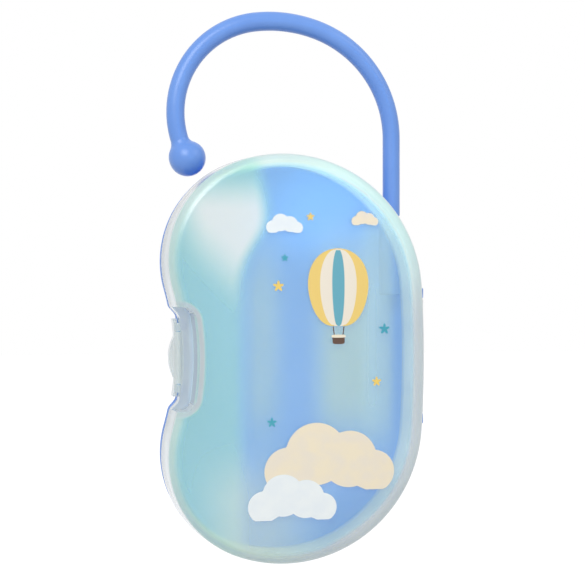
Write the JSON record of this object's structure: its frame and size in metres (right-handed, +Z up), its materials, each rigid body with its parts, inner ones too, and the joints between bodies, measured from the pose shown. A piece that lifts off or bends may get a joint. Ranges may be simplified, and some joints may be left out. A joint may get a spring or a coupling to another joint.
{
  "type": "pacifier sterilizer case",
  "caption": "Bean-shaped carrying case for two soothers: blue rear shell, hinged clear domed cover with a thumb latch, and a tall swivelling hook with a ball end.",
  "frame": {"origin": "inside top of the hook's crown, on the rod's middle plane, where the case hangs from a bar", "axes": "+Z up along the hook's stem; +X towards the hinge side; -Y out of the front cover, +Y out of the flat back"},
  "size_m": [0.0837, 0.044, 0.1721],
  "materials": {
    "blue_shell": "smooth moulded polypropylene, sky blue",
    "blue_hook": "smooth moulded polypropylene, deeper blue, satin gloss",
    "clear_cover": "clear to milky polypropylene with a faint aqua tint and a print on the front",
    "clear_latch": "milky clear polypropylene"
  },
  "bodies": {
    "hook": {"carry_hook": "blue_hook"},
    "case": {"rear_shell": "blue_shell", "hinge_pin_upper": "blue_shell", "hinge_pin_lower": "blue_shell"},
    "cover": {"front_cover": "clear_cover", "latch_pin": "clear_latch"},
    "latch": {"latch_flap": "clear_latch"}
  },
  "joints": [
    {"name": "hook_swivel", "type": "hinge", "parent": "hook", "child": "case", "pos_m": [0.03854, 0, -0.07381], "axis": [0, 0, 1], "range_deg": [-90, 90]},
    {"name": "cover_hinge", "type": "hinge", "parent": "case", "child": "cover", "pos_m": [0.04489, -0.0069, -0.10315], "axis": [0, 0, 1], "range_deg": [0, 180]},
    {"name": "latch_pivot", "type": "hinge", "parent": "cover", "child": "latch", "pos_m": [-0.03141, -0.0094, -0.10315], "axis": [0, 0, 1], "range_deg": [0, 20], "stiffness_Nm_per_rad": 0.02, "springref_deg": -8.59}
  ]
}
